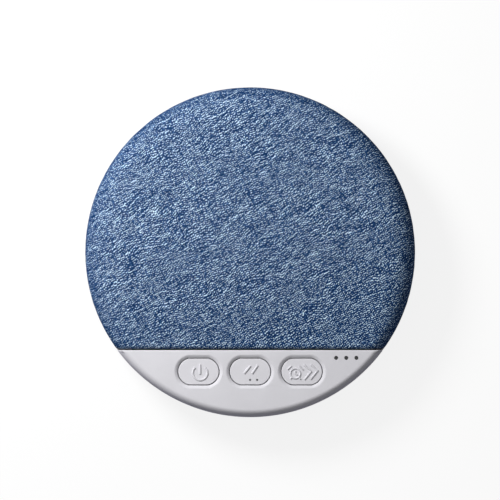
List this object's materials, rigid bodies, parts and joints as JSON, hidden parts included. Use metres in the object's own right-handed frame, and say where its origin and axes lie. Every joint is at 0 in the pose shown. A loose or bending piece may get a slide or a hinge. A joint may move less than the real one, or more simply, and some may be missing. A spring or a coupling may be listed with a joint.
{
  "type": "pillow speaker",
  "caption": "Flat round pillow speaker with a stretched blue knit front, a grey control segment with oblong keys and lights, a charging socket and a grip ring underneath.",
  "frame": {"origin": "centre of the round body on the plane that the grip ring rests on", "axes": "+Z out of the knit front, +X to the right and +Y up as seen from the front with the keys below"},
  "size_m": [0.1, 0.1, 0.021],
  "materials": {
    "shell_grey": "satin moulded",
    "panel_grey": "satin moulded",
    "key_grey": "satin moulded",
    "knit_blue": "heathered knit",
    "grip_silicone": "matt silicone",
    "dark_plastic": "matt moulded",
    "smoked": "smoked clear",
    "steel": "plated",
    "motor_steel": "zinc plated",
    "board_green": "solder mask",
    "chip_black": "moulded epoxy",
    "light_chip": "clear epoxy",
    "connector_white": "nylon",
    "cell_foil": "laminated foil",
    "foam": "closed-cell foam",
    "cone_paper": "coated pulp",
    "surround_rubber": "butyl rubber",
    "former_film": "amber film",
    "copper": "enamelled wire",
    "fibre_board": "phenolic board",
    "tinned": "tinned",
    "lead_red": "insulated wire",
    "lead_black": "insulated wire"
  },
  "bodies": {
    "case": {"rear_shell": "shell_grey", "grip_ring": "grip_silicone", "case_screws": "steel", "control_panel": "panel_grey", "speaker_grille": "dark_plastic", "fabric_cover": "knit_blue", "light_guide": "smoked", "status_lights": "light_chip", "circuit_board": "board_green", "board_screws": "steel", "chips": "chip_black", "crystal_can": "steel", "capacitors": "cell_foil", "usb_shell": "steel", "usb_tongue": "chip_black", "battery_cell": "cell_foil", "battery_tape": "foam", "battery_leads": "lead_red", "battery_connector": "connector_white", "driver_basket": "motor_steel", "driver_yoke": "motor_steel", "driver_magnet": "motor_steel", "driver_plate": "motor_steel", "driver_surround": "surround_rubber", "driver_gasket": "foam", "driver_strip": "fibre_board", "driver_lugs": "tinned", "driver_screws": "steel", "speaker_leads": "lead_black", "speaker_connector": "connector_white", "power_switch_base": "chip_black", "power_switch_cover": "steel", "power_switch_dome": "steel", "back_switch_base": "chip_black", "back_switch_cover": "steel", "back_switch_dome": "steel", "alarm_switch_base": "chip_black", "alarm_switch_cover": "steel", "alarm_switch_dome": "steel"},
    "power_key": {"power_key": "key_grey"},
    "power_plunger": {"power_switch_plunger": "dark_plastic"},
    "back_key": {"back_key": "key_grey"},
    "back_plunger": {"back_switch_plunger": "dark_plastic"},
    "alarm_key": {"alarm_key": "key_grey"},
    "alarm_plunger": {"alarm_switch_plunger": "dark_plastic"},
    "cone": {"driver_cone": "cone_paper", "driver_cap": "cone_paper", "driver_former": "former_film", "driver_winding": "copper"}
  },
  "joints": [
    {"name": "power_key_press", "type": "slide", "parent": "case", "child": "power_key", "axis": [0, 0, -1], "range_m": [0, 0.0005], "stiffness_N_per_m": 3000},
    {"name": "power_plunger_press", "type": "slide", "parent": "case", "child": "power_plunger", "axis": [0, 0, -1], "range_m": [0, 0.0005], "deforming": ["power_switch_dome"]},
    {"name": "back_key_press", "type": "slide", "parent": "case", "child": "back_key", "axis": [0, 0, -1], "range_m": [0, 0.0005], "stiffness_N_per_m": 3000},
    {"name": "back_plunger_press", "type": "slide", "parent": "case", "child": "back_plunger", "axis": [0, 0, -1], "range_m": [0, 0.0005], "deforming": ["back_switch_dome"]},
    {"name": "alarm_key_press", "type": "slide", "parent": "case", "child": "alarm_key", "axis": [0, 0, -1], "range_m": [0, 0.0005], "stiffness_N_per_m": 3000},
    {"name": "alarm_plunger_press", "type": "slide", "parent": "case", "child": "alarm_plunger", "axis": [0, 0, -1], "range_m": [0, 0.0005], "deforming": ["alarm_switch_dome"]},
    {"name": "cone_stroke", "type": "slide", "parent": "case", "child": "cone", "axis": [0, 0, 1], "range_m": [-0.0006, 0.0006], "stiffness_N_per_m": 1000, "deforming": ["driver_surround"]}
  ],
  "couplings": [
    {"joint": "power_plunger_press", "follows": "power_key_press", "ratio": 1},
    {"joint": "back_plunger_press", "follows": "back_key_press", "ratio": 1},
    {"joint": "alarm_plunger_press", "follows": "alarm_key_press", "ratio": 1}
  ]
}
